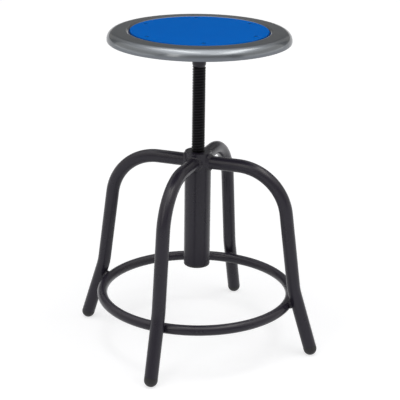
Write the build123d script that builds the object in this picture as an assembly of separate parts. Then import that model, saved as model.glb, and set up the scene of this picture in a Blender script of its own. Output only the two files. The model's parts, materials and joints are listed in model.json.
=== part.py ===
"""Laboratory stool with a round steel seat that is raised and lowered by turning its screw.

Frame: origin on the floor under the post axis, +Z up, the front leg along -Y. Millimetres and degrees.
"""
import math
import os

from build123d import *

# Seat pan and insert
seat_diameter = 330.0
seat_height = 594.0
pan_sheet = 1.5
pan_depth = 20.0
pan_shoulder_radius = 15.0
pan_crown_drop = 0.8
pan_lip_radius = 6.0
pan_recess_draft = 30.0
pan_hem_width = 6.0
pan_hem_radius = 2.6
insert_diameter = 247.5
insert_thickness = 4.5
insert_edge_radius = 1.2
insert_gap = 0.8

# Blind rivets that hold the insert in the pan
rivet_count = 6
rivet_circle_diameter = 218.0
rivet_first_angle = -6.0
rivet_head_diameter = 6.8
rivet_head_thickness = 1.0
rivet_head_rim = 0.4
rivet_crown_diameter = 4.1
rivet_head_sink = 0.3
rivet_head_clearance = 0.4
rivet_shank_diameter = 4.0
rivet_tail_diameter = 6.2
rivet_tail_end_diameter = 4.3
rivet_tail_length = 3.6

# Mounting plate under the pan, with its hub, ribs and stud fixings
plate_diameter = 170.0
plate_thickness = 4.0
plate_edge_radius = 1.2
hub_diameter = 25.0
hub_drop = 66.2
hub_taper_length = 4.6
hub_nose_diameter = 21.0
rib_count = 4
rib_thickness = 4.0
rib_reach = 66.0
rib_depth = 34.0
rib_end_height = 5.0
rib_root_width = 5.0
stud_circle_diameter = 124.0
stud_diameter = 6.0
stud_length = 11.6
stud_chamfer = 0.8
stud_flange_diameter = 8.0
stud_flange_thickness = 1.0
stud_hole_clearance = 0.4
stud_nut_width = 10.0
stud_nut_height = 5.0
stud_washer_diameter = 12.4
stud_washer_thickness = 1.0
pin_diameter = 5.0
pin_height_above_nose = 26.0
pin_bore = 2.5
pin_recess = 0.3

# Lift screw with a right-hand trapezoidal thread
thread_pitch = 5.0
thread_diameter = 24.0
thread_depth = 1.6
thread_crest = 1.9
thread_flank_angle = 15.0
thread_clearance = 0.3
shank_diameter = 18.0
journal_diameter = 14.0

# Guide bush that keeps the lower end of the screw central in the post
bush_length = 16.0
bush_clearance = 0.3
bush_to_nut = 16.6
bush_chamfer = 1.2
end_washer_diameter = 26.0
end_washer_thickness = 2.5
end_bolt_diameter = 8.0
end_bolt_length = 20.0
end_bolt_width = 13.0
end_bolt_head = 5.0
end_bolt_hole_spare = 3.0

# Post with its nut, end cap and buffer
post_diameter = 48.6
post_wall = 2.0
post_length = 223.3
post_rise_above_legs = 19.2
post_rim_radius = 0.8
nut_length = 28.0
nut_recess = 0.2
nut_lead_in = 0.4
cap_thickness = 5.0
cap_edge_radius = 3.0
cap_spigot = 14.0
cap_spigot_wall = 2.5
buffer_diameter = 30.0
buffer_height = 12.0
buffer_edge_radius = 1.5

# Four bent tube legs
leg_diameter = 24.6
leg_wall = 1.6
leg_run_height = 351.0
leg_bend_radius = 94.0
leg_upper_angle = 7.8
leg_lower_angle = 17.6
leg_kink_height = 124.0
leg_kink_radius = 120.0
foot_circle_radius = 227.3

# Domed glides in the leg ends
glide_collar = 4.0
glide_collar_chamfer = 0.5
glide_flat_depth = 0.6
glide_stem = 20.0
glide_stem_bore = 11.0

# Foot ring welded to the inner side of the legs
ring_height = 92.5
ring_tube_diameter = 18.8
ring_wall = 1.5
ring_weld_gap = 0.3
ring_weld_radius = 8.5

# Weld bead around each leg on the post, with the share of its width that is bevelled off
post_weld_width = 4.0
post_weld_bevel = 0.9

# Slip fit of one part inside another that it does not move against
slip = 0.05

# How far a cut runs past the faces that it goes through
cut_margin = 5.0

# Direction of each leg about the post axis
leg_directions = {"right": 0.0, "back": 90.0, "left": 180.0, "front": 270.0}


def cylinder(radius, low, high):
    """Cylinder on the post axis between two heights."""
    return Pos(0, 0, low) * Cylinder(radius, high - low, align=(Align.CENTER, Align.CENTER, Align.MIN))


def turned(*points):
    """Solid turned about the post axis from a closed outline of (radius, height) points."""
    outline = Polyline(*[(r, 0, z) for r, z in points], close=True)
    return revolve(make_face(outline), axis=Axis.Z)


def rounded_path(points, radii):
    """Open path of (x, z) points in the XZ plane, each inner point rounded to its own radius."""
    edges = []
    start = Vector(points[0][0], 0, points[0][1])
    for before, corner, after, radius in zip(points, points[1:], points[2:], radii):
        corner = Vector(corner[0], 0, corner[1])
        incoming = (corner - Vector(before[0], 0, before[1])).normalized()
        outgoing = (Vector(after[0], 0, after[1]) - corner).normalized()
        half_turn = math.radians(incoming.get_angle(outgoing)) / 2
        reach = radius * math.tan(half_turn)
        arc_start = corner - incoming * reach
        arc_end = corner + outgoing * reach
        arc_middle = corner + (outgoing - incoming).normalized() * (radius / math.cos(half_turn) - radius)
        edges += [Line(start, arc_start), ThreePointArc(arc_start, arc_middle, arc_end)]
        start = arc_end
    edges.append(Line(start, Vector(points[-1][0], 0, points[-1][1])))
    return Wire(edges)


def around(count, first_angle, shape):
    """The shape repeated evenly about the post axis."""
    return [Rot(0, 0, first_angle + index * 360.0 / count) * shape for index in range(count)]


def thread(major_radius, minor_radius, crest, low, high):
    """Right-hand threaded rod, built turn by turn, with the same phase at a height wherever it begins."""
    flank = (major_radius - minor_radius) * math.tan(math.radians(thread_flank_angle))
    crest_half = 180.0 * crest / thread_pitch
    root_start = crest_half + 360.0 * flank / thread_pitch
    flank_middle = (crest_half + root_start) / 2
    middle_radius = (major_radius + minor_radius) / 2
    phase = 360.0 * low / thread_pitch

    def at(radius, angle):
        angle = math.radians(angle + phase)
        return Vector(radius * math.cos(angle), radius * math.sin(angle), low)

    root_begin = at(minor_radius, root_start)
    root_end = at(minor_radius, -root_start)
    section = Wire([
        ThreePointArc(at(major_radius, -crest_half), at(major_radius, 0), at(major_radius, crest_half)),
        ThreePointArc(at(major_radius, crest_half), at(middle_radius, flank_middle), root_begin),
        ThreePointArc(root_begin, at(minor_radius, 180), root_end),
        ThreePointArc(root_end, at(middle_radius, -flank_middle), at(major_radius, -crest_half)),
    ])

    def twisted(height):
        turn_angle = 360.0 * height / thread_pitch
        return Solid.extrude_linear_with_rotation(section, (0, 0, low), (0, 0, height), turn_angle)

    full_turns = math.ceil((high - low) / thread_pitch) - 1
    last_height = high - low - full_turns * thread_pitch
    turn = twisted(thread_pitch)
    last_turn = Pos(0, 0, full_turns * thread_pitch) * twisted(last_height)
    skin = [turn.faces().sort_by(Axis.Z)[0], last_turn.faces().sort_by(Axis.Z)[-1]]
    skin += last_turn.faces().filter_by(GeomType.BSPLINE)
    flanks = turn.faces().filter_by(GeomType.BSPLINE)
    for index in range(full_turns):
        skin += [Pos(0, 0, index * thread_pitch) * face for face in flanks]
    return Solid(Shell(skin))


# Radii used by several parts
seat_radius = seat_diameter / 2
insert_radius = insert_diameter / 2
post_radius = post_diameter / 2
bore_radius = post_radius - post_wall
leg_radius = leg_diameter / 2
hub_radius = hub_diameter / 2
shank_radius = shank_diameter / 2
stud_radius = stud_diameter / 2
stud_flange_radius = stud_flange_diameter / 2
pin_radius = pin_diameter / 2
end_bolt_radius = end_bolt_diameter / 2
journal_radius = journal_diameter / 2
thread_major = thread_diameter / 2
thread_minor = thread_major - thread_depth

# Heights of the seat, from the top down
recess_floor = seat_height - insert_thickness
plate_top = recess_floor - pan_sheet
plate_bottom = plate_top - plate_thickness
skirt_bottom = seat_height - pan_depth
hub_nose = seat_height - hub_drop

# Heights of the post and inside it, from the top down
post_top = leg_run_height + post_rise_above_legs
post_bottom = post_top - post_length
nut_top = post_top - nut_recess
nut_bottom = nut_top - nut_length
bush_top = nut_bottom - bush_to_nut
bush_bottom = bush_top - bush_length
screw_shoulder = bush_top + bush_clearance
journal_end = bush_bottom - bush_clearance
end_washer_bottom = journal_end - end_washer_thickness
tube_bottom = post_bottom + cap_thickness

# Leg centre line in its own plane, from the post to the foot
foot_height = leg_radius - glide_flat_depth
leg_lower_tilt = math.radians(leg_lower_angle)
leg_upper_tilt = math.radians(leg_upper_angle)
kink_radius = foot_circle_radius - (leg_kink_height - foot_height) * math.tan(leg_lower_tilt)
knee_radius = kink_radius - (leg_run_height - leg_kink_height) * math.tan(leg_upper_tilt)
tube_end = (
    foot_circle_radius - glide_collar * math.sin(leg_lower_tilt),
    foot_height + glide_collar * math.cos(leg_lower_tilt),
)
leg_path = rounded_path(
    [
        (post_radius / 2, leg_run_height),
        (knee_radius, leg_run_height),
        (kink_radius, leg_kink_height),
        tube_end,
    ],
    [leg_bend_radius, leg_kink_radius],
)

# Foot ring centre line, set so that the ring just clears the legs where it is welded to them
ring_tube_radius = ring_tube_diameter / 2
leg_radius_at_ring = foot_circle_radius - (ring_height - foot_height) * math.tan(leg_lower_tilt)
ring_offset = leg_radius + ring_tube_radius + ring_weld_gap
ring_radius = leg_radius_at_ring - ring_offset / math.cos(leg_lower_tilt)

parts = {}

# Seat pan: one pressed sheet with a draughted recess for the insert, a round shoulder and a hem turned inwards
recess_radius = insert_radius + insert_gap
recess_spread = insert_thickness * math.tan(math.radians(pan_recess_draft))
pan_surface = rounded_path(
    [
        (0, recess_floor),
        (recess_radius, recess_floor),
        (recess_radius + recess_spread, seat_height),
        (seat_radius, seat_height - pan_crown_drop),
        (seat_radius, skirt_bottom),
        (seat_radius - pan_hem_width, skirt_bottom),
    ],
    [insert_gap, pan_lip_radius, pan_shoulder_radius, pan_hem_radius],
)
pan_section = make_face(pan_surface.offset_2d(pan_sheet, side=Side.RIGHT))
rivet_place = Pos(rivet_circle_diameter / 2, 0, 0)
rivet_hole = rivet_place * cylinder(
    rivet_shank_diameter / 2 + slip, plate_top - cut_margin, seat_height + cut_margin
)
rivet_holes = around(rivet_count, rivet_first_angle, rivet_hole)
parts["seat_pan"] = revolve(pan_section, axis=Axis.Z) - rivet_holes

# Seat insert: moulded disc with a rounded rim and a sunk seat for each rivet head
rivet_crown = seat_height - rivet_head_sink
head_seat = rivet_crown - rivet_head_thickness
insert = cylinder(insert_radius, recess_floor, seat_height)
insert = fillet(insert.edges().group_by(Axis.Z)[-1], insert_edge_radius)
head_pocket = rivet_place * cylinder(
    rivet_head_diameter / 2 + rivet_head_clearance, head_seat, seat_height + cut_margin
)
parts["seat_insert"] = insert - rivet_holes - around(rivet_count, rivet_first_angle, head_pocket)

# Rivets: low domed head, shank through insert and pan, spread tail below the pan
rivet_head_radius = rivet_head_diameter / 2
rivet_shank_radius = rivet_shank_diameter / 2
rivet_tail_radius = rivet_tail_diameter / 2
tail_end = plate_top - rivet_tail_length
rivet = turned(
    (0, tail_end),
    (rivet_tail_end_diameter / 2, tail_end),
    (rivet_tail_radius, (tail_end + plate_top) / 2),
    (rivet_tail_radius, plate_top),
    (rivet_shank_radius, plate_top),
    (rivet_shank_radius, head_seat),
    (rivet_head_radius, head_seat),
    (rivet_head_radius, head_seat + rivet_head_rim),
    (rivet_crown_diameter / 2, rivet_crown),
    (0, rivet_crown),
)
parts["insert_rivets"] = Compound(children=around(rivet_count, rivet_first_angle, rivet_place * rivet))

# Mounting plate: flat disc under the pan with a hole for the screw and one for each weld stud
stud_place = Pos(stud_circle_diameter / 2, 0, 0)
stud_angle = 180.0 / rib_count
stud_hole = stud_place * cylinder(
    stud_flange_radius + stud_hole_clearance, plate_bottom - cut_margin, plate_top + cut_margin
)
plate = cylinder(plate_diameter / 2, plate_bottom, plate_top)
plate = fillet(plate.edges().group_by(Axis.Z)[0], plate_edge_radius)
plate -= cylinder(shank_radius + slip, plate_bottom - cut_margin, plate_top + cut_margin)
parts["seat_plate"] = plate - around(rib_count, stud_angle, stud_hole)

# Weld studs on the underside of the pan, with a washer and a nut on each
stud_end = plate_top - stud_length
stud = turned(
    (0, stud_end),
    (stud_radius - stud_chamfer, stud_end),
    (stud_radius, stud_end + stud_chamfer),
    (stud_radius, plate_top - stud_flange_thickness),
    (stud_flange_radius, plate_top - stud_flange_thickness),
    (stud_flange_radius, plate_top),
    (0, plate_top),
)
washer_bottom = plate_bottom - stud_washer_thickness
stud_nut_bottom = washer_bottom - stud_nut_height
nut_hole = cylinder(stud_radius + slip, stud_nut_bottom - cut_margin, plate_top)
stud_washer = cylinder(stud_washer_diameter / 2, washer_bottom, plate_bottom) - nut_hole
hexagon = RegularPolygon(stud_nut_width / 2, 6, major_radius=False)
stud_nut = Pos(0, 0, stud_nut_bottom) * extrude(hexagon, stud_nut_height) - nut_hole
parts["pan_studs"] = Compound(children=around(rib_count, stud_angle, stud_place * stud))
parts["stud_washers"] = Compound(children=around(rib_count, stud_angle, stud_place * stud_washer))
parts["stud_nuts"] = Compound(children=around(rib_count, stud_angle, stud_place * stud_nut))

# Hub: sleeve welded under the plate, tapered to a nose where the thread begins
pin_height = hub_nose + pin_height_above_nose
pin_place = Pos(0, 0, pin_height) * Rot(0, 0, stud_angle) * Rot(0, 90, 0)
pin_hole = pin_place * Cylinder(pin_radius + slip, hub_diameter + 2 * cut_margin)
hub = turned(
    (shank_radius + slip, hub_nose),
    (hub_nose_diameter / 2, hub_nose),
    (hub_radius, hub_nose + hub_taper_length),
    (hub_radius, plate_bottom),
    (shank_radius + slip, plate_bottom),
)
parts["seat_hub"] = hub - pin_hole

# Ribs between hub and plate
rib_low = plate_bottom - rib_depth
rib_outline = Polyline(
    (hub_radius / 2, 0, plate_bottom),
    (rib_reach, 0, plate_bottom),
    (rib_reach, 0, plate_bottom - rib_end_height),
    (hub_radius + rib_root_width, 0, rib_low),
    (hub_radius / 2, 0, rib_low),
    close=True,
)
rib = extrude(make_face(rib_outline), rib_thickness / 2, both=True)
rib -= cylinder(hub_radius, rib_low - cut_margin, plate_top)
parts["hub_ribs"] = Compound(children=around(rib_count, 0.0, rib))

# Spring pin through hub and screw
pin = Cylinder(pin_radius, hub_diameter - 2 * pin_recess) - Cylinder(pin_bore / 2, hub_diameter)
parts["hub_pin"] = pin_place * pin

# Lift screw: shank in the hub, threaded length, and a journal with a tapped end for the guide bush
screw = thread(thread_major, thread_minor, thread_crest, screw_shoulder, hub_nose)
screw += cylinder(shank_radius, hub_nose, plate_top)
screw += cylinder(journal_radius, journal_end, screw_shoulder)
end_bolt_top = journal_end + end_bolt_length
screw -= cylinder(end_bolt_radius + slip, journal_end, end_bolt_top + end_bolt_hole_spare)
parts["lift_screw"] = screw - pin_hole

# Guide bush, end washer and end bolt at the lower end of the screw
bush = cylinder(bore_radius - bush_clearance, bush_bottom, bush_top)
bush = chamfer(bush.edges().filter_by(GeomType.CIRCLE), bush_chamfer)
parts["guide_bush"] = bush - cylinder(journal_radius + bush_clearance, bush_bottom, bush_top)

end_washer = cylinder(end_washer_diameter / 2, end_washer_bottom, journal_end)
parts["end_washer"] = end_washer - cylinder(end_bolt_radius + slip, end_washer_bottom, journal_end)

bolt_head = extrude(RegularPolygon(end_bolt_width / 2, 6, major_radius=False), end_bolt_head)
bolt_head = Pos(0, 0, end_washer_bottom - end_bolt_head) * bolt_head
parts["end_bolt"] = bolt_head + cylinder(end_bolt_radius, end_washer_bottom, end_bolt_top)

# Post tube
tube = cylinder(post_radius, tube_bottom, post_top) - cylinder(bore_radius, tube_bottom, post_top)
parts["post_tube"] = fillet(tube.edges().group_by(Axis.Z)[-1], post_rim_radius)

# Nut fixed in the top of the post, with an internal thread and a lead-in
nut = cylinder(bore_radius - slip, nut_bottom, nut_top)
nut -= thread(
    thread_major + thread_clearance,
    thread_minor + thread_clearance,
    thread_crest + 2 * thread_clearance,
    nut_bottom - thread_pitch,
    nut_top + thread_pitch,
)
lead_in_depth = thread_depth + nut_lead_in
lead_in = turned(
    (0, nut_top + cut_margin),
    (thread_minor + lead_in_depth + cut_margin, nut_top + cut_margin),
    (thread_minor, nut_top - lead_in_depth),
    (0, nut_top - lead_in_depth),
)
parts["post_nut"] = nut - lead_in

# End cap pressed into the bottom of the post, and the buffer that lies in it
cap = cylinder(post_radius, post_bottom, tube_bottom)
cap = fillet(cap.edges().group_by(Axis.Z)[0], cap_edge_radius)
spigot_radius = bore_radius - slip
spigot_top = tube_bottom + cap_spigot
spigot = cylinder(spigot_radius, tube_bottom, spigot_top)
parts["post_cap"] = cap + spigot - cylinder(spigot_radius - cap_spigot_wall, tube_bottom, spigot_top)

buffer = cylinder(buffer_diameter / 2, tube_bottom, tube_bottom + buffer_height)
parts["stop_buffer"] = fillet(buffer.edges().group_by(Axis.Z)[-1], buffer_edge_radius)

# Legs: bent tube, cut to the round of the post
leg_start = Plane(origin=(post_radius / 2, 0, leg_run_height), z_dir=(1, 0, 0))
leg_rod = sweep(leg_start * Circle(leg_radius), path=leg_path)
leg_hollow = sweep(leg_start * Circle(leg_radius - leg_wall), path=leg_path)
post_rod = cylinder(post_radius, post_bottom, post_top)
leg = leg_rod - leg_hollow - post_rod

# Glides: domed foot the width of the tube, with a hollow stem pressed into it
glide = Cylinder(leg_radius, glide_collar, align=(Align.CENTER, Align.CENTER, Align.MIN))
glide = chamfer(glide.edges().group_by(Axis.Z)[-1], glide_collar_chamfer)
glide += Sphere(leg_radius, arc_size2=0, align=None)
glide += Pos(0, 0, glide_collar) * Cylinder(
    leg_radius - leg_wall - slip, glide_stem, align=(Align.CENTER, Align.CENTER, Align.MIN)
)
glide -= Pos(0, 0, glide_collar) * Cylinder(
    glide_stem_bore / 2, glide_stem, align=(Align.CENTER, Align.CENTER, Align.MIN)
)
glide = Pos(foot_circle_radius, 0, foot_height) * Rot(0, -leg_lower_angle, 0) * glide
glide = split(glide, bisect_by=Plane.XY, keep=Keep.TOP)

for side, direction in leg_directions.items():
    parts["leg_" + side] = Rot(0, 0, direction) * leg
    parts["glide_" + side] = Rot(0, 0, direction) * glide

# Foot ring: closed round tube
ring_rod = Pos(0, 0, ring_height) * Torus(ring_radius, ring_tube_radius)
parts["foot_ring"] = ring_rod - Pos(0, 0, ring_height) * Torus(ring_radius, ring_tube_radius - ring_wall)

# Weld bead around each leg where it meets the post
bead_reach = post_radius + post_weld_width
bead_low = leg_run_height - leg_diameter
bead_high = leg_run_height + leg_diameter
along_leg = Pos(0, 0, leg_run_height) * Rot(0, 90, 0)
bead = along_leg * Cylinder(
    leg_radius + post_weld_width, bead_reach + cut_margin, align=(Align.CENTER, Align.CENTER, Align.MIN)
)
bead = bead & cylinder(bead_reach, bead_low, bead_high)
bead = chamfer(bead.edges().filter_by(GeomType.BSPLINE), post_weld_width * post_weld_bevel)
bead -= cylinder(post_radius, bead_low, bead_high)
bead -= along_leg * Cylinder(leg_radius, 2 * (bead_reach + cut_margin))
parts["leg_welds"] = Compound(children=around(len(leg_directions), 0.0, bead))

# Weld bead around each point where the foot ring meets a leg
contact_reach = ring_tube_radius + ring_weld_gap / 2
contact_height = ring_height + contact_reach * math.sin(leg_lower_tilt)
contact_radius = ring_radius + contact_reach * math.cos(leg_lower_tilt)
ring_bead = Pos(contact_radius, 0, contact_height) * Sphere(ring_weld_radius) - leg_rod - ring_rod
parts["ring_welds"] = Compound(children=around(len(leg_directions), 0.0, ring_bead))

os.makedirs("parts", exist_ok=True)
for name, shape in parts.items():
    export_step(shape, "parts/" + name + ".step")
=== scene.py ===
"""Laboratory stool: finishes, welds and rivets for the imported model, with a studio, lamps and a camera."""
import json
import math

import bmesh
import bpy
from mathutils import Matrix, Vector


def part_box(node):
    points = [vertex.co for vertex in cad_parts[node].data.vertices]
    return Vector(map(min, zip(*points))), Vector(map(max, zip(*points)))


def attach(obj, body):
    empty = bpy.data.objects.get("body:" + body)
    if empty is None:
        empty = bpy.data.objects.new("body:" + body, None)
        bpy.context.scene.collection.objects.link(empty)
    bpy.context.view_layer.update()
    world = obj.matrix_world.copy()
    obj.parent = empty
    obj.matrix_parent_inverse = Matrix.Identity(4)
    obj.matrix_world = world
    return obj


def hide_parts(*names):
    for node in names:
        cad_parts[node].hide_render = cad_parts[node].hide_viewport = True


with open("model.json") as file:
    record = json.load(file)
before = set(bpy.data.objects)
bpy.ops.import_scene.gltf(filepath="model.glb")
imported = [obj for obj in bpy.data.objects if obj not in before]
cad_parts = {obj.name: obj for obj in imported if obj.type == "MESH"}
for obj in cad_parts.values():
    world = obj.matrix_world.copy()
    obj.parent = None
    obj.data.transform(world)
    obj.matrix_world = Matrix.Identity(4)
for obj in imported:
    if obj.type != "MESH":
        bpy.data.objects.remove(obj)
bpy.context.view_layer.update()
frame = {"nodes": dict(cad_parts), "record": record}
nodes = frame["nodes"]

MM = 0.001

# Sizes read from the frame
post_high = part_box("post_tube")[1]
leg_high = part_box("leg_right")[1]
ring_low, ring_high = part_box("foot_ring")
insert_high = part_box("seat_insert")[1]
rivets_low, rivets_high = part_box("insert_rivets")
screw_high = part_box("lift_screw")[1]

post_radius = post_high.x
leg_radius = leg_high.y
leg_run_height = leg_high.z - leg_radius
ring_tube_radius = (ring_high.z - ring_low.z) / 2
ring_height = (ring_high.z + ring_low.z) / 2
ring_radius = ring_high.x - ring_tube_radius
seat_top = insert_high.z
thread_radius = screw_high.x

# Weld beads, as wide as the solids that they replace, with the ripples of a hand-held torch
LEG_COUNT = 4
LEG_LOWER_TILT = math.radians(17.6)
LEG_WELD_WIDTH = 4.0 * MM
RING_WELD_RADIUS = 8.5 * MM
RING_WELD_CORE = 4.0 * MM
RING_WELD_GAP = 0.3 * MM
WELD_SINK = 0.3 * MM
RIPPLE_PITCH = 2.8 * MM
RIPPLE_HEIGHT = 0.25 * MM
STATIONS_PER_RIPPLE = 4

# Face of a leg weld from the post to the leg, as shares of its width out from the leg and along it
LEG_WELD_FACE = ((0.2, 0.86), (0.53, 0.53), (0.86, 0.2))

# Ring weld: half the thickness of the flat ring that it starts from, the share of its radius at which its face
# starts, and the passes that smooth that face
RING_WELD_START = 0.05 * MM
RING_WELD_FACE = 0.94
RING_WELD_SMOOTHING = 12

# How close a vertex lies to the loop that it belongs to
LOOP_TOLERANCE = 0.01 * MM

# Blind rivets, with the hole that the broken mandrel leaves in the head
RIVET_COUNT = 6
RIVET_FIRST_ANGLE = math.radians(-6)
RIVET_STATIONS = 32
RIVET_HEAD_RADIUS = 3.4 * MM
RIVET_HEAD_RIM = 0.4 * MM
RIVET_HEAD_THICKNESS = 1.0 * MM
RIVET_SHANK_RADIUS = 2.0 * MM
RIVET_TAIL_RADIUS = 3.1 * MM
RIVET_TAIL_END_RADIUS = 2.15 * MM
RIVET_TAIL_LENGTH = 3.6 * MM
RIVET_BORE_RADIUS = 1.1 * MM
RIVET_BORE_DEPTH = 0.6 * MM
RIVET_DOME_STEPS = 4

# Camera of the photograph, found by fitting the outlines of the stool
IMAGE_PIXELS = 400
SENSOR_MM = 36.0
CAMERA_DISTANCE = 2.1953
CAMERA_HEIGHT = 1.0496
CAMERA_AZIMUTH = math.radians(20.128)
CAMERA_PITCH = math.radians(19.422)
CAMERA_ROLL = math.radians(0.726)
FOCAL_PIXELS = 1254.6
CENTRE_PIXEL = (197.46, 199.48)

# Brightness of the studio: even light on surfaces, then the upper room and the ceiling in reflections
AMBIENT = 0.14
UPPER_ROOM = 0.19
CEILING = 1.6

# Colour of the lamps, a little warmer than the backdrop, and the share of the seat's height that they face
LAMP_COLOUR = "#fffcf3"
LAMP_AIM = 0.6

# Sines of the elevations between which the backdrop gives way to the upper room, and the room to the ceiling
BACKDROP_EDGE = (0.07, 0.12)
CEILING_EDGE = (0.45, 0.95)

# Floor: the glow that keeps it white, near the stool and far from it, the distances between which that grows,
# its size, and its drop below the feet
FLOOR_LIFT = (0.68, 0.92)
FLOOR_FADE = (0.3, 2.5)
FLOOR_SIZE = 40.0
FLOOR_DROP = 0.2 * MM

# Colour sockets of a Mix node, which share their names with its number sockets
MIX_FIRST, MIX_SECOND, MIX_RESULT = 6, 7, 2

# Radians that a wave texture turns through in one unit of length at scale 1
WAVE_RADIANS = 20


def linear(code):
    """Linear RGBA of an sRGB hex colour."""
    channels = [int(code[i:i + 2], 16) / 255 for i in (1, 3, 5)]
    return [c / 12.92 if c <= 0.04045 else ((c + 0.055) / 1.055) ** 2.4 for c in channels] + [1.0]


def add(tree, kind, links=None, **settings):
    """Adds one node, sets its values or properties, and links outputs of earlier nodes to its inputs."""
    node = tree.nodes.new(kind)
    for name, value in settings.items():
        if hasattr(node, name):
            setattr(node, name, value)
        else:
            node.inputs[name.replace("_", " ")].default_value = value
    for name, source in (links or {}).items():
        tree.links.new(source, node.inputs[name])
    return node


def new_material(name):
    """New material without nodes, and its node tree."""
    material = bpy.data.materials.new(name)
    material.use_nodes = True
    material.node_tree.nodes.clear()
    return material, material.node_tree


def finish_material(material, tree, surface):
    """Ends a material's nodes with its output."""
    add(tree, "ShaderNodeOutputMaterial", {"Surface": surface})
    return material


def per_metre(size_mm):
    """Noise scale whose features are about this wide, on coordinates in metres."""
    return 1 / (size_mm * MM)


# Finishes

def silver_grey_baked_enamel():
    """Baked metallic enamel on pressed steel: satin grey with fine flake and a faint orange peel."""
    material, tree = new_material("silver_grey_baked_enamel")
    place = add(tree, "ShaderNodeTexCoord").outputs["Object"]
    # Flakes are far finer than a pixel, so they are drawn 0.9 mm wide to show at all
    flake = add(tree, "ShaderNodeTexVoronoi", {"Vector": place}, Scale=per_metre(0.9))
    cloud = add(tree, "ShaderNodeTexNoise", {"Vector": place}, Scale=per_metre(45), Detail=3.0)
    sparkle = add(tree, "ShaderNodeMix", {"Factor": flake.outputs["Distance"]}, data_type="RGBA")
    sparkle.inputs[MIX_FIRST].default_value = linear("#747980")
    sparkle.inputs[MIX_SECOND].default_value = linear("#686d74")
    tint = add(tree, "ShaderNodeMix", {"Factor": cloud.outputs["Fac"]}, data_type="RGBA", blend_type="MULTIPLY")
    tree.links.new(sparkle.outputs[MIX_RESULT], tint.inputs[MIX_FIRST])
    tint.inputs[MIX_SECOND].default_value = linear("#f2f2f2")
    gloss = add(tree, "ShaderNodeMapRange", {"Value": cloud.outputs["Fac"]}, To_Min=0.28, To_Max=0.33)
    peel = add(tree, "ShaderNodeTexNoise", {"Vector": place}, Scale=per_metre(3.0), Detail=2.0)
    bump = add(tree, "ShaderNodeBump", {"Height": peel.outputs["Fac"]}, Strength=0.04, Distance=0.2 * MM)
    shader = add(
        tree, "ShaderNodeBsdfPrincipled",
        {
            "Base Color": tint.outputs[MIX_RESULT],
            "Roughness": gloss.outputs["Result"],
            "Normal": bump.outputs["Normal"],
        },
        Metallic=0.8, Specular_Tint=linear("#a0a0a0"), Coat_Weight=0.7, Coat_Roughness=0.08,
    )
    return finish_material(material, tree, shader.outputs["BSDF"])


def blue_moulded_polypropylene():
    """Injection-moulded polypropylene: strong even blue with a fine spark-eroded grain and little gloss."""
    material, tree = new_material("blue_moulded_polypropylene")
    place = add(tree, "ShaderNodeTexCoord").outputs["Object"]
    cloud = add(tree, "ShaderNodeTexNoise", {"Vector": place}, Scale=per_metre(60), Detail=2.0)
    tone = add(tree, "ShaderNodeMix", {"Factor": cloud.outputs["Fac"]}, data_type="RGBA")
    tone.inputs[MIX_FIRST].default_value = linear("#0050a5")
    tone.inputs[MIX_SECOND].default_value = linear("#0057ae")
    grain = add(tree, "ShaderNodeTexNoise", {"Vector": place}, Scale=per_metre(1.2), Detail=2.0)
    bump = add(tree, "ShaderNodeBump", {"Height": grain.outputs["Fac"]}, Strength=0.12, Distance=0.1 * MM)
    gloss = add(tree, "ShaderNodeMapRange", {"Value": grain.outputs["Fac"]}, To_Min=0.5, To_Max=0.62)
    shader = add(
        tree, "ShaderNodeBsdfPrincipled",
        {
            "Base Color": tone.outputs[MIX_RESULT],
            "Roughness": gloss.outputs["Result"],
            "Normal": bump.outputs["Normal"],
        },
        IOR=1.49, Specular_IOR_Level=0.01,
    )
    return finish_material(material, tree, shader.outputs["BSDF"])


def blue_lacquered_rivet():
    """Lacquered aluminium rivet: the insert's blue a shade deeper, glossy, a little uneven over the head."""
    material, tree = new_material("blue_lacquered_rivet")
    place = add(tree, "ShaderNodeTexCoord").outputs["Object"]
    film = add(tree, "ShaderNodeTexNoise", {"Vector": place}, Scale=per_metre(1.5), Detail=2.0)
    tone = add(tree, "ShaderNodeMix", {"Factor": film.outputs["Fac"]}, data_type="RGBA")
    tone.inputs[MIX_FIRST].default_value = linear("#00375c")
    tone.inputs[MIX_SECOND].default_value = linear("#004470")
    gloss = add(tree, "ShaderNodeMapRange", {"Value": film.outputs["Fac"]}, To_Min=0.25, To_Max=0.4)
    shader = add(
        tree, "ShaderNodeBsdfPrincipled",
        {"Base Color": tone.outputs[MIX_RESULT], "Roughness": gloss.outputs["Result"]},
        IOR=1.5, Specular_IOR_Level=0.2,
    )
    return finish_material(material, tree, shader.outputs["BSDF"])


def black_powder_coat():
    """Satin black powder coat on steel tube: charcoal body, low gloss and a fine orange peel."""
    material, tree = new_material("black_powder_coat")
    place = add(tree, "ShaderNodeTexCoord").outputs["Object"]
    cloud = add(tree, "ShaderNodeTexNoise", {"Vector": place}, Scale=per_metre(35), Detail=3.0)
    tone = add(tree, "ShaderNodeMix", {"Factor": cloud.outputs["Fac"]}, data_type="RGBA")
    tone.inputs[MIX_FIRST].default_value = linear("#26232e")
    tone.inputs[MIX_SECOND].default_value = linear("#2d2a36")
    # The orange peel is about 1 mm wide on the tube, drawn at 2 mm to show
    peel = add(tree, "ShaderNodeTexNoise", {"Vector": place}, Scale=per_metre(2.0), Detail=2.0)
    bump = add(tree, "ShaderNodeBump", {"Height": peel.outputs["Fac"]}, Strength=0.09, Distance=0.2 * MM)
    gloss = add(tree, "ShaderNodeMapRange", {"Value": cloud.outputs["Fac"]}, To_Min=0.25, To_Max=0.31)
    shader = add(
        tree, "ShaderNodeBsdfPrincipled",
        {
            "Base Color": tone.outputs[MIX_RESULT],
            "Roughness": gloss.outputs["Result"],
            "Normal": bump.outputs["Normal"],
        },
        IOR=1.5, Specular_IOR_Level=0.31,
    )
    return finish_material(material, tree, shader.outputs["BSDF"])


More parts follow.
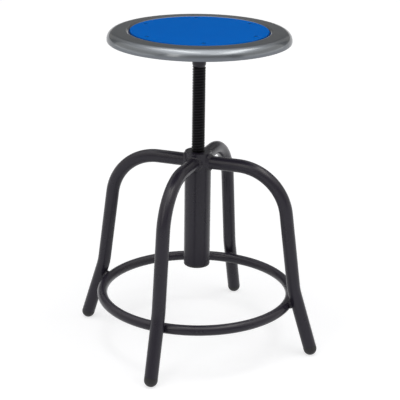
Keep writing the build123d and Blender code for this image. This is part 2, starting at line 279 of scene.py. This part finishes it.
def blackened_thread_steel():
    """Blackened steel thread: dark and oily in the roots, rubbed a little brighter on the crests."""
    material, tree = new_material("blackened_thread_steel")
    place = add(tree, "ShaderNodeTexCoord").outputs["Object"]
    flat = add(tree, "ShaderNodeVectorMath", {0: place}, operation="MULTIPLY")
    flat.inputs[1].default_value = (1, 1, 0)
    reach = add(tree, "ShaderNodeVectorMath", {0: flat.outputs["Vector"]}, operation="LENGTH")
    rubbed_depth = 0.5 * MM
    rubbed = add(
        tree, "ShaderNodeMapRange", {"Value": reach.outputs["Value"]},
        From_Min=thread_radius - rubbed_depth, From_Max=thread_radius, To_Min=0.0, To_Max=1.0,
    )
    scuff = add(tree, "ShaderNodeTexNoise", {"Vector": place}, Scale=per_metre(4.0), Detail=4.0)
    wear = add(
        tree, "ShaderNodeMath", {0: rubbed.outputs["Result"], 1: scuff.outputs["Fac"]}, operation="MULTIPLY",
    )
    tone = add(tree, "ShaderNodeMix", {"Factor": wear.outputs["Value"]}, data_type="RGBA")
    tone.inputs[MIX_FIRST].default_value = linear("#0c0b0e")
    tone.inputs[MIX_SECOND].default_value = linear("#2e2d31")
    gloss = add(tree, "ShaderNodeMapRange", {"Value": scuff.outputs["Fac"]}, To_Min=0.32, To_Max=0.5)
    shader = add(
        tree, "ShaderNodeBsdfPrincipled",
        {"Base Color": tone.outputs[MIX_RESULT], "Roughness": gloss.outputs["Result"]},
        Metallic=0.9,
    )
    return finish_material(material, tree, shader.outputs["BSDF"])


def bright_zinc_plate():
    """Zinc-plated fasteners: cool bright grey, slightly blotched, half gloss."""
    material, tree = new_material("bright_zinc_plate")
    place = add(tree, "ShaderNodeTexCoord").outputs["Object"]
    blotch = add(tree, "ShaderNodeTexNoise", {"Vector": place}, Scale=per_metre(3.0), Detail=4.0)
    tone = add(tree, "ShaderNodeMix", {"Factor": blotch.outputs["Fac"]}, data_type="RGBA")
    tone.inputs[MIX_FIRST].default_value = linear("#8f9296")
    tone.inputs[MIX_SECOND].default_value = linear("#b4b6b9")
    gloss = add(tree, "ShaderNodeMapRange", {"Value": blotch.outputs["Fac"]}, To_Min=0.25, To_Max=0.42)
    shader = add(
        tree, "ShaderNodeBsdfPrincipled",
        {"Base Color": tone.outputs[MIX_RESULT], "Roughness": gloss.outputs["Result"]},
        Metallic=1.0,
    )
    return finish_material(material, tree, shader.outputs["BSDF"])


def black_moulded_polyethylene():
    """Moulded polyethylene caps and glides: black, slightly waxy, scuffed where they meet the floor."""
    material, tree = new_material("black_moulded_polyethylene")
    place = add(tree, "ShaderNodeTexCoord").outputs["Object"]
    height = add(tree, "ShaderNodeSeparateXYZ", {"Vector": place})
    rub_height = 5 * MM
    floor_rub = add(
        tree, "ShaderNodeMapRange", {"Value": height.outputs["Z"]},
        From_Min=0.0, From_Max=rub_height, To_Min=1.0, To_Max=0.0,
    )
    scuff = add(tree, "ShaderNodeTexNoise", {"Vector": place}, Scale=per_metre(2.0), Detail=5.0)
    rub = add(
        tree, "ShaderNodeMath", {0: floor_rub.outputs["Result"], 1: scuff.outputs["Fac"]}, operation="MULTIPLY",
    )
    tone = add(tree, "ShaderNodeMix", {"Factor": rub.outputs["Value"]}, data_type="RGBA")
    tone.inputs[MIX_FIRST].default_value = linear("#232225")
    tone.inputs[MIX_SECOND].default_value = linear("#4b4a4c")
    gloss = add(tree, "ShaderNodeMapRange", {"Value": scuff.outputs["Fac"]}, To_Min=0.42, To_Max=0.56)
    bump = add(tree, "ShaderNodeBump", {"Height": scuff.outputs["Fac"]}, Strength=0.1, Distance=0.1 * MM)
    shader = add(
        tree, "ShaderNodeBsdfPrincipled",
        {
            "Base Color": tone.outputs[MIX_RESULT],
            "Roughness": gloss.outputs["Result"],
            "Normal": bump.outputs["Normal"],
        },
        IOR=1.51, Specular_IOR_Level=0.4,
    )
    return finish_material(material, tree, shader.outputs["BSDF"])


def natural_nylon():
    """Turned natural nylon: off-white and softly translucent, with fine tool marks round the post axis."""
    material, tree = new_material("natural_nylon")
    place = add(tree, "ShaderNodeTexCoord").outputs["Object"]
    tool = add(
        tree, "ShaderNodeTexWave", {"Vector": place}, wave_type="BANDS", bands_direction="Z",
        Scale=per_metre(1.5) * math.tau / WAVE_RADIANS, Distortion=1.0,
    )
    tone = add(tree, "ShaderNodeMix", {"Factor": tool.outputs["Fac"]}, data_type="RGBA")
    tone.inputs[MIX_FIRST].default_value = linear("#d8d4c6")
    tone.inputs[MIX_SECOND].default_value = linear("#e4e0d3")
    bump = add(tree, "ShaderNodeBump", {"Height": tool.outputs["Fac"]}, Strength=0.1, Distance=0.05 * MM)
    shader = add(
        tree, "ShaderNodeBsdfPrincipled",
        {"Base Color": tone.outputs[MIX_RESULT], "Normal": bump.outputs["Normal"]},
        Roughness=0.45, IOR=1.53, Subsurface_Weight=0.1, Subsurface_Scale=2 * MM,
    )
    return finish_material(material, tree, shader.outputs["BSDF"])


def buffer_rubber():
    """Moulded black rubber: matt and dusty."""
    material, tree = new_material("buffer_rubber")
    place = add(tree, "ShaderNodeTexCoord").outputs["Object"]
    dust = add(tree, "ShaderNodeTexNoise", {"Vector": place}, Scale=per_metre(2.5), Detail=5.0)
    tone = add(tree, "ShaderNodeMix", {"Factor": dust.outputs["Fac"]}, data_type="RGBA")
    tone.inputs[MIX_FIRST].default_value = linear("#151515")
    tone.inputs[MIX_SECOND].default_value = linear("#2a2927")
    bump = add(tree, "ShaderNodeBump", {"Height": dust.outputs["Fac"]}, Strength=0.2, Distance=0.1 * MM)
    shader = add(
        tree, "ShaderNodeBsdfPrincipled",
        {"Base Color": tone.outputs[MIX_RESULT], "Normal": bump.outputs["Normal"]},
        Roughness=0.8, IOR=1.52,
    )
    return finish_material(material, tree, shader.outputs["BSDF"])


finishes = {
    "pan_paint": silver_grey_baked_enamel(),
    "insert_plastic": blue_moulded_polypropylene(),
    "rivet_blue": blue_lacquered_rivet(),
    "frame_paint": black_powder_coat(),
    "screw_black": blackened_thread_steel(),
    "bright_steel": bright_zinc_plate(),
    "black_plastic": black_moulded_polyethylene(),
    "bush_nylon": natural_nylon(),
    "buffer_rubber": buffer_rubber(),
}

# Every CAD node gets the finish of its slot in the record
for subpart in frame["record"]["subparts"]:
    mesh = nodes[subpart["node"]].data
    mesh.materials.clear()
    mesh.materials.append(finishes[subpart["material_slot"]])


# Weld beads and rivets

def pick(test):
    """Selects, in edit mode, the vertices whose place passes the test."""
    shape = bmesh.from_edit_mesh(bpy.context.object.data)
    for vertex in shape.verts:
        vertex.select = test(vertex.co)
    shape.select_flush_mode()
    bmesh.update_edit_mesh(bpy.context.object.data)


def skin_loops(name, loops, stations, ring):
    """Skin over circles about local Z, given as (radius, height): a closed ring, or a solid with filled ends.

    Each circle has a vertex group, named by its number.
    """
    bpy.ops.object.select_all(action="DESELECT")
    radius, height = loops[0]
    bpy.ops.mesh.primitive_circle_add(vertices=stations, radius=radius)
    skin = bpy.context.object
    skin.name = name
    bpy.ops.object.mode_set(mode="EDIT")
    bpy.ops.mesh.select_all(action="SELECT")
    bpy.ops.transform.translate(value=(0, 0, height))
    for next_radius, next_height in loops[1:]:
        bpy.ops.mesh.extrude_region_move(TRANSFORM_OT_translate={"value": (0, 0, next_height - height)})
        grow = next_radius / radius
        bpy.ops.transform.resize(value=(grow, grow, 1), center_override=(0, 0, next_height))
        radius, height = next_radius, next_height
    bpy.ops.mesh.select_all(action="DESELECT")
    bpy.ops.mesh.select_non_manifold()
    if ring:
        bpy.ops.mesh.bridge_edge_loops()
    else:
        bpy.ops.mesh.fill_holes(sides=stations)
    bpy.ops.mesh.select_all(action="SELECT")
    bpy.ops.mesh.normals_make_consistent(inside=False)
    for number, (radius, height) in enumerate(loops):
        skin.vertex_groups.new(name=str(number))
        skin.vertex_groups.active_index = number
        pick(lambda place: math.dist((place.xy.length, place.z), (radius, height)) < LOOP_TOLERANCE)
        bpy.ops.object.vertex_group_assign()
    bpy.ops.object.mode_set(mode="OBJECT")
    return skin


def press_onto(bead, number, target, offset, outwards):
    """Presses one loop of a bead along its axis onto a tube, to a distance above the tube's surface."""
    wrap = bead.modifiers.new("press", "SHRINKWRAP")
    wrap.target = nodes[target]
    wrap.vertex_group = str(number)
    wrap.wrap_method = "PROJECT"
    wrap.use_project_z = True
    wrap.use_positive_direction = outwards
    wrap.use_negative_direction = not outwards
    wrap.offset = offset
    bpy.ops.object.modifier_apply(modifier=wrap.name)


def ripple(bead, stations, inner_radius, outer_radius):
    """Raises the crests of the weld ripples on the loops between two radii."""
    def on_crest(place):
        station = round(math.atan2(place.y, place.x) / math.tau * stations)
        return inner_radius < place.xy.length < outer_radius and station % STATIONS_PER_RIPPLE == 0

    bpy.ops.object.mode_set(mode="EDIT")
    pick(on_crest)
    bpy.ops.transform.shrink_fatten(value=RIPPLE_HEIGHT)
    bpy.ops.object.mode_set(mode="OBJECT")


def repeat_about_post(piece, count, first_angle=0.0):
    """Copies a piece evenly about the post axis and joins the copies, with their place in the mesh."""
    bpy.ops.object.transform_apply(location=True, rotation=True, scale=True)
    copies = [piece]
    for _ in range(count - 1):
        bpy.ops.object.select_all(action="DESELECT")
        piece.select_set(True)
        bpy.context.view_layer.objects.active = piece
        bpy.ops.object.duplicate()
        copies.append(bpy.context.object)
    for index, copy in enumerate(copies):
        copy.rotation_euler.z = first_angle + index * math.tau / count
        copy.select_set(True)
    bpy.context.view_layer.objects.active = piece
    bpy.ops.object.join()
    bpy.ops.object.transform_apply(location=True, rotation=True, scale=True)


def dress(piece, finish, body, node, smooth_angle=40):
    """Gives a finished piece its shading, finish and body, in place of a CAD node."""
    bpy.ops.object.shade_smooth_by_angle(angle=math.radians(smooth_angle))
    piece.vertex_groups.clear()
    piece.data.materials.append(finishes[finish])
    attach(piece, body)
    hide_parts(node)


def leg_weld_beads():
    """Flat fillet welds round the leg ends, lying in the corner between leg and post."""
    width = LEG_WELD_WIDTH
    profile = [(-WELD_SINK, -WELD_SINK), (-WELD_SINK, width)]
    profile += [(out * width, along * width) for out, along in LEG_WELD_FACE]
    profile.append((width, -WELD_SINK))
    loops = [(leg_radius + out, along) for out, along in profile]
    stations = STATIONS_PER_RIPPLE * round(math.tau * (leg_radius + width / 2) / RIPPLE_PITCH)
    bead = skin_loops("leg_weld_beads", loops, stations, ring=True)
    bead.location = (post_radius + 2 * width, 0, leg_run_height)
    bead.rotation_euler.y = math.pi / 2
    for number, (_, along) in enumerate(profile):
        press_onto(bead, number, "post_tube", along, outwards=False)
    ripple(bead, stations, leg_radius, leg_radius + width - LOOP_TOLERANCE)
    repeat_about_post(bead, LEG_COUNT)
    dress(bead, "frame_paint", "base", "leg_welds")


def ring_weld_beads():
    """Welds that fill the crevice where the foot ring lies against each leg."""
    half = RING_WELD_START
    face = RING_WELD_FACE * RING_WELD_RADIUS
    loops = [(RING_WELD_CORE, -half), (RING_WELD_RADIUS, -half), (face, -half / 2), (face, 0)]
    loops += [(face, half / 2), (RING_WELD_RADIUS, half), (RING_WELD_CORE, half)]
    stations = STATIONS_PER_RIPPLE * round(math.tau * RING_WELD_RADIUS / RIPPLE_PITCH)
    bead = skin_loops("ring_weld_beads", loops, stations, ring=True)
    reach = ring_tube_radius + RING_WELD_GAP / 2
    bead.location = (
        ring_radius + reach * math.cos(LEG_LOWER_TILT), 0, ring_height + reach * math.sin(LEG_LOWER_TILT),
    )
    bead.rotation_euler.y = math.pi / 2 - LEG_LOWER_TILT
    last = len(loops) - 1
    for number in (0, 1):
        press_onto(bead, number, "foot_ring", -WELD_SINK, outwards=False)
    for number in (last - 1, last):
        press_onto(bead, number, "leg_right", -WELD_SINK, outwards=True)
    bpy.ops.object.mode_set(mode="EDIT")
    pick(lambda place: RING_WELD_CORE < place.xy.length < (face + RING_WELD_RADIUS) / 2)
    bpy.ops.mesh.vertices_smooth(factor=0.5, repeat=RING_WELD_SMOOTHING)
    bpy.ops.object.mode_set(mode="OBJECT")
    ripple(bead, stations, RING_WELD_CORE + LOOP_TOLERANCE, RING_WELD_RADIUS - LOOP_TOLERANCE)
    repeat_about_post(bead, LEG_COUNT)
    dress(bead, "frame_paint", "base", "ring_welds")


def blind_rivets():
    """Blind rivets: domed head with the mandrel's hole, shank, and a tail spread under the pan."""
    crown = rivets_high.z
    head_seat = crown - RIVET_HEAD_THICKNESS
    tail_top = rivets_low.z + RIVET_TAIL_LENGTH
    rim = head_seat + RIVET_HEAD_RIM
    loops = [
        (RIVET_TAIL_END_RADIUS, rivets_low.z),
        (RIVET_TAIL_RADIUS, (rivets_low.z + tail_top) / 2),
        (RIVET_TAIL_RADIUS, tail_top),
        (RIVET_SHANK_RADIUS, tail_top),
        (RIVET_SHANK_RADIUS, head_seat),
        (RIVET_HEAD_RADIUS, head_seat),
        (RIVET_HEAD_RADIUS, rim),
    ]
    for step in range(1, RIVET_DOME_STEPS + 1):
        share = step / RIVET_DOME_STEPS
        inwards = share * (RIVET_HEAD_RADIUS - RIVET_BORE_RADIUS)
        loops.append((RIVET_HEAD_RADIUS - inwards, rim + (crown - rim) * (1 - (1 - share) ** 2)))
    loops.append((RIVET_BORE_RADIUS, crown - RIVET_BORE_DEPTH))
    rivet = skin_loops("blind_rivets", loops, RIVET_STATIONS, ring=False)
    rivet.location.x = (rivets_high.x - RIVET_HEAD_RADIUS) / math.cos(RIVET_FIRST_ANGLE)
    repeat_about_post(rivet, RIVET_COUNT, RIVET_FIRST_ANGLE)
    dress(rivet, "rivet_blue", "seat", "insert_rivets", smooth_angle=35)


leg_weld_beads()
ring_weld_beads()
blind_rivets()


# Studio

def pale_floor():
    """Wide white floor that stays white to the camera and keeps a faint shadow of the stool."""
    bpy.ops.object.select_all(action="DESELECT")
    bpy.ops.mesh.primitive_plane_add(size=FLOOR_SIZE, location=(0, 0, -FLOOR_DROP))
    floor = bpy.context.object
    floor.name = "floor"
    material, tree = new_material("white_floor")
    paths = add(tree, "ShaderNodeLightPath")
    matt = add(tree, "ShaderNodeBsdfDiffuse", Color=linear("#b4b6bd"))
    seen = add(
        tree, "ShaderNodeMath", {0: paths.outputs["Is Camera Ray"], 1: paths.outputs["Is Glossy Ray"]},
        operation="MAXIMUM",
    )
    seen = add(
        tree, "ShaderNodeMath", {0: seen.outputs["Value"], 1: paths.outputs["Is Transmission Ray"]},
        operation="MAXIMUM",
    )
    place = add(tree, "ShaderNodeTexCoord").outputs["Object"]
    reach = add(tree, "ShaderNodeVectorMath", {0: place}, operation="LENGTH")
    fade = add(
        tree, "ShaderNodeMapRange", {"Value": reach.outputs["Value"]},
        From_Min=FLOOR_FADE[0], From_Max=FLOOR_FADE[1], To_Min=FLOOR_LIFT[0], To_Max=FLOOR_LIFT[1],
    )
    lift = add(
        tree, "ShaderNodeMath", {0: seen.outputs["Value"], 1: fade.outputs["Result"]}, operation="MULTIPLY",
    )
    glow = add(tree, "ShaderNodeEmission", {"Strength": lift.outputs["Value"]})
    both = add(tree, "ShaderNodeAddShader", {0: matt.outputs["BSDF"], 1: glow.outputs["Emission"]})
    floor.data.materials.append(finish_material(material, tree, both.outputs["Shader"]))


def white_surround():
    """White backdrop, a soft even light and, in reflections, a dim upper room below a bright ceiling."""
    world = bpy.data.worlds.new("studio")
    bpy.context.scene.world = world
    world.use_nodes = True
    tree = world.node_tree
    tree.nodes.clear()
    paths = add(tree, "ShaderNodeLightPath")
    direction = add(tree, "ShaderNodeTexCoord").outputs["Generated"]
    rise = add(tree, "ShaderNodeSeparateXYZ", {"Vector": direction})
    mirrored = add(
        tree, "ShaderNodeMapRange", {"Value": rise.outputs["Z"]},
        From_Min=BACKDROP_EDGE[0], From_Max=BACKDROP_EDGE[1], To_Min=1.0, To_Max=UPPER_ROOM,
    )
    ceiling = add(
        tree, "ShaderNodeMapRange", {"Value": rise.outputs["Z"]}, interpolation_type="SMOOTHSTEP",
        From_Min=CEILING_EDGE[0], From_Max=CEILING_EDGE[1], To_Min=0.0, To_Max=CEILING - UPPER_ROOM,
    )
    mirrored = add(
        tree, "ShaderNodeMath", {0: mirrored.outputs["Result"], 1: ceiling.outputs["Result"]}, operation="ADD",
    )
    reflected = add(
        tree, "ShaderNodeMix", {"Factor": paths.outputs["Is Glossy Ray"], "B": mirrored.outputs["Value"]},
        A=AMBIENT,
    )
    seen = add(
        tree, "ShaderNodeMath", {0: paths.outputs["Is Camera Ray"], 1: paths.outputs["Is Transmission Ray"]},
        operation="MAXIMUM",
    )
    strength = add(
        tree, "ShaderNodeMix", {"Factor": seen.outputs["Value"], "A": reflected.outputs["Result"]}, B=1.0,
    )
    sky = add(tree, "ShaderNodeBackground", {"Strength": strength.outputs["Result"]}, Color=(1, 1, 1, 1))
    add(tree, "ShaderNodeOutputWorld", {"Surface": sky.outputs["Background"]})


def softbox(name, azimuth, elevation, distance, size, watts):
    """Rectangular lamp that faces the stool, placed as seen from the camera: azimuth 0 is on its side."""
    lamp = bpy.data.lights.new(name, "AREA")
    lamp.shape = "RECTANGLE"
    lamp.size, lamp.size_y = size
    lamp.energy = watts
    lamp.color = linear(LAMP_COLOUR)[:3]
    light = bpy.data.objects.new(name, lamp)
    bpy.context.scene.collection.objects.link(light)
    turn, rise = CAMERA_AZIMUTH + math.radians(azimuth), math.radians(elevation)
    out = Vector((math.sin(turn) * math.cos(rise), -math.cos(turn) * math.cos(rise), math.sin(rise)))
    target = Vector((0, 0, seat_top * LAMP_AIM))
    light.location = target + out * distance
    light.rotation_euler = (-out).to_track_quat("-Z", "Y").to_euler()


def photograph_camera():
    """Camera at the photograph's place, with its lens, roll and framing."""
    data = bpy.data.cameras.new("camera")
    data.sensor_width = SENSOR_MM
    data.lens = FOCAL_PIXELS / IMAGE_PIXELS * SENSOR_MM
    data.shift_x = (IMAGE_PIXELS / 2 - CENTRE_PIXEL[0]) / IMAGE_PIXELS
    data.shift_y = (CENTRE_PIXEL[1] - IMAGE_PIXELS / 2) / IMAGE_PIXELS
    camera = bpy.data.objects.new("camera", data)
    bpy.context.scene.collection.objects.link(camera)
    place = Vector((
        CAMERA_DISTANCE * math.sin(CAMERA_AZIMUTH),
        -CAMERA_DISTANCE * math.cos(CAMERA_AZIMUTH),
        CAMERA_HEIGHT,
    ))
    tilt = Matrix.Rotation(math.pi / 2 - CAMERA_PITCH, 4, "X")
    turn = Matrix.Rotation(CAMERA_AZIMUTH, 4, "Z")
    roll = Matrix.Rotation(CAMERA_ROLL, 4, "Z")
    camera.matrix_world = Matrix.Translation(place) @ turn @ tilt @ roll
    bpy.context.scene.camera = camera


pale_floor()
white_surround()
softbox("overhead_softbox", azimuth=0, elevation=80, distance=1.5, size=(1.9, 1.4), watts=10.5)
softbox("overhead_left_strip", azimuth=-63, elevation=79, distance=1.4, size=(0.9, 0.25), watts=2.6)
softbox("overhead_right_strip", azimuth=80, elevation=64, distance=1.4, size=(0.9, 0.3), watts=3)
softbox("left_panel", azimuth=-88, elevation=25, distance=2.2, size=(3.0, 1.9), watts=13.5)
softbox("right_panel", azimuth=88, elevation=25, distance=2.2, size=(3.0, 1.9), watts=13)
softbox("back_left_strip", azimuth=-148, elevation=28, distance=2.4, size=(0.7, 1.2), watts=0.7)
softbox("back_right_strip", azimuth=148, elevation=28, distance=2.4, size=(0.7, 1.2), watts=0.7)
softbox("front_fill", azimuth=0, elevation=32, distance=3.2, size=(4.2, 3.0), watts=12)
softbox("front_left_panel", azimuth=-32, elevation=30, distance=2.6, size=(0.6, 1.6), watts=8)
softbox("front_right_strip", azimuth=42, elevation=53, distance=2.0, size=(1.2, 0.35), watts=2.6)
photograph_camera()

bpy.context.scene.view_settings.view_transform = "Standard"
